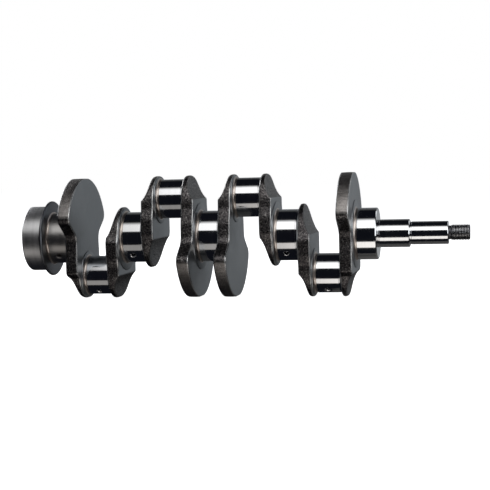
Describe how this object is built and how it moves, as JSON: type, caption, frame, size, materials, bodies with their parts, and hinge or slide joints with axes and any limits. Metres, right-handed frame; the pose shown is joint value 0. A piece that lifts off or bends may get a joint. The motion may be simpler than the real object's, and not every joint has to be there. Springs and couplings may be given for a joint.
{
  "type": "crankshaft",
  "caption": "Forged crankshaft with offset throws, counterweights, ground journals, a keyed and threaded nose, a flywheel flange, and a pilot bearing in its end.",
  "frame": {"origin": "middle of main journal 3, on the main axis", "axes": "+X along the main axis towards the threaded nose, +Z towards crankpins 2 and 3, +Y the far side that holds the keys"},
  "size_m": [0.456, 0.1152, 0.1252],
  "materials": {
    "ground_journal": "mirror ground and polished steel with faint circumferential grinding marks",
    "forged_web": "dark shot-blasted forging skin, smoother machined side faces",
    "turned_flange": "finely turned and ground steel",
    "nose_thread": "dark rolled thread, bright on the crests",
    "key_steel": "ground key steel",
    "bearing_steel": "bright ground bearing steel",
    "cage_brass": "satin machined brass",
    "seal_rubber": "matt black moulded rubber"
  },
  "bodies": {
    "crankshaft": {"main_journal_1": "ground_journal", "main_journal_2": "ground_journal", "main_journal_3": "ground_journal", "main_journal_4": "ground_journal", "main_journal_5": "ground_journal", "crankpin_1": "ground_journal", "crankpin_2": "ground_journal", "crankpin_3": "ground_journal", "crankpin_4": "ground_journal", "counterweight_web_1": "forged_web", "plain_web_2": "forged_web", "plain_web_3": "forged_web", "counterweight_web_4": "forged_web", "counterweight_web_5": "forged_web", "plain_web_6": "forged_web", "plain_web_7": "forged_web", "counterweight_web_8": "forged_web", "flywheel_flange": "turned_flange", "oil_slinger_ring": "turned_flange", "gear_seat": "ground_journal", "pulley_seat": "ground_journal", "threaded_nose": "nose_thread", "gear_key": "key_steel", "pulley_key": "key_steel", "pilot_outer_race": "bearing_steel", "pilot_seal_rear": "seal_rubber", "pilot_seal_front": "seal_rubber"},
    "inner_race": {"pilot_inner_race": "bearing_steel"},
    "ball_set": {"pilot_ball_cage": "cage_brass", "pilot_balls": "bearing_steel"}
  },
  "joints": [
    {"name": "inner_race_spin", "type": "hinge", "parent": "crankshaft", "child": "inner_race", "pos_m": [-0.1894, 0, 0], "axis": [1, 0, 0], "continuous": true},
    {"name": "ball_set_spin", "type": "hinge", "parent": "crankshaft", "child": "ball_set", "pos_m": [-0.1894, 0, 0], "axis": [1, 0, 0], "continuous": true}
  ],
  "couplings": [
    {"joint": "ball_set_spin", "follows": "inner_race_spin", "ratio": 0.366}
  ]
}
